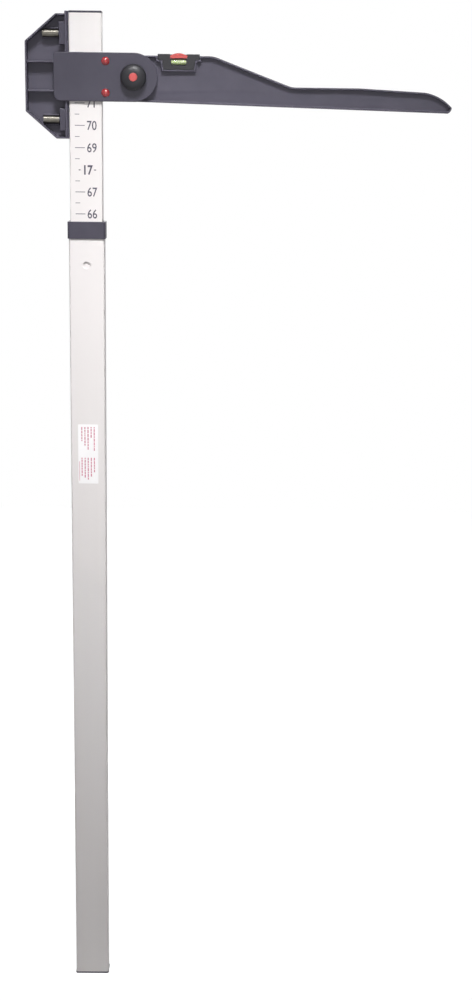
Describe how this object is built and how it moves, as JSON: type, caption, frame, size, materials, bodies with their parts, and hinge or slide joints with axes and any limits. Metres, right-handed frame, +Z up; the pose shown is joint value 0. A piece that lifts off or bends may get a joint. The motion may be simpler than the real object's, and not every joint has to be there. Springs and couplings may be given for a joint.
{
  "type": "horse measuring stick",
  "caption": "Telescopic measuring stick for horses: a scaled two-stage staff with a sliding head and a folding arm that carries a spirit level.",
  "frame": {"origin": "centre of the foot's underside", "axes": "+Z up the staff, +X towards the arm's tip, the scale faces -Y"},
  "size_m": [0.495, 0.0429, 1.2114],
  "materials": {
    "white_tube": "satin white",
    "label": "printed",
    "red_plastic": "gloss red",
    "red_metal": "gloss red",
    "steel": "plain",
    "brass": "plain",
    "nylon": "plain",
    "vial": "clear",
    "fluid": "yellow-green",
    "bubble": "clear",
    "black_plastic": "satin black"
  },
  "bodies": {
    "staff": {"outer_tube": "white_tube", "foot_plug": "black_plastic", "tube_collar": "black_plastic", "info_label": "label"},
    "inner_staff": {"inner_tube": "white_tube", "inner_glide": "black_plastic", "top_cap": "black_plastic", "snap_leaf": "steel"},
    "snap_button": {"snap_button": "black_plastic"},
    "head": {"guide_plate": "black_plastic", "front_cover": "black_plastic", "rear_cover": "black_plastic", "guide_rivets": "red_metal", "guide_sleeves": "steel", "cover_screws": "steel", "pivot_bush": "brass", "front_washer": "nylon", "rear_washer": "nylon", "knob_washer": "steel", "spring_barrel_upper": "steel", "spring_barrel_lower": "steel", "shoe_spring_upper": "steel", "shoe_spring_lower": "steel"},
    "shoe_upper": {"friction_shoe_upper": "black_plastic"},
    "shoe_lower": {"friction_shoe_lower": "black_plastic"},
    "arm": {"arm": "black_plastic", "level_housing": "black_plastic", "level_cover": "red_plastic", "level_vial": "vial", "vial_plugs": "nylon", "vial_fluid": "fluid", "level_bubble": "bubble"},
    "knob": {"clamp_knob": "black_plastic", "knob_insert": "brass", "knob_cap": "red_plastic"},
    "bolt": {"pivot_bolt": "steel"}
  },
  "joints": [
    {"name": "staff_extend", "type": "slide", "parent": "staff", "child": "inner_staff", "axis": [0, 0, 1], "range_m": [0, 0.695]},
    {"name": "button_press", "type": "slide", "parent": "inner_staff", "child": "snap_button", "axis": [0, -1, 0], "range_m": [-0.002, 0], "stiffness_N_per_m": 800, "springref_m": 0.004, "deforming": ["snap_leaf"]},
    {"name": "head_slide", "type": "slide", "parent": "inner_staff", "child": "head", "axis": [0, 0, 1], "range_m": [-0.0949, 0]},
    {"name": "shoe_press_upper", "type": "slide", "parent": "head", "child": "shoe_upper", "axis": [1, 0, 0], "range_m": [-0.0008, 0], "stiffness_N_per_m": 1500, "springref_m": 0.003, "deforming": ["shoe_spring_upper"]},
    {"name": "shoe_press_lower", "type": "slide", "parent": "head", "child": "shoe_lower", "axis": [1, 0, 0], "range_m": [-0.0008, 0], "stiffness_N_per_m": 1500, "springref_m": 0.003, "deforming": ["shoe_spring_lower"]},
    {"name": "arm_fold", "type": "hinge", "parent": "head", "child": "arm", "pos_m": [0.0558, 0, 1.1378], "axis": [0, 1, 0], "range_deg": [0, 88.5]},
    {"name": "knob_turn", "type": "hinge", "parent": "head", "child": "knob", "pos_m": [0.0558, 0, 1.1378], "axis": [0, -1, 0], "range_deg": [0, 180]},
    {"name": "bolt_draw", "type": "slide", "parent": "head", "child": "bolt", "axis": [0, 1, 0], "range_m": [0, 0.0006]}
  ],
  "couplings": [
    {"joint": "bolt_draw", "follows": "knob_turn", "m_per_rad": 0.00015915}
  ]
}
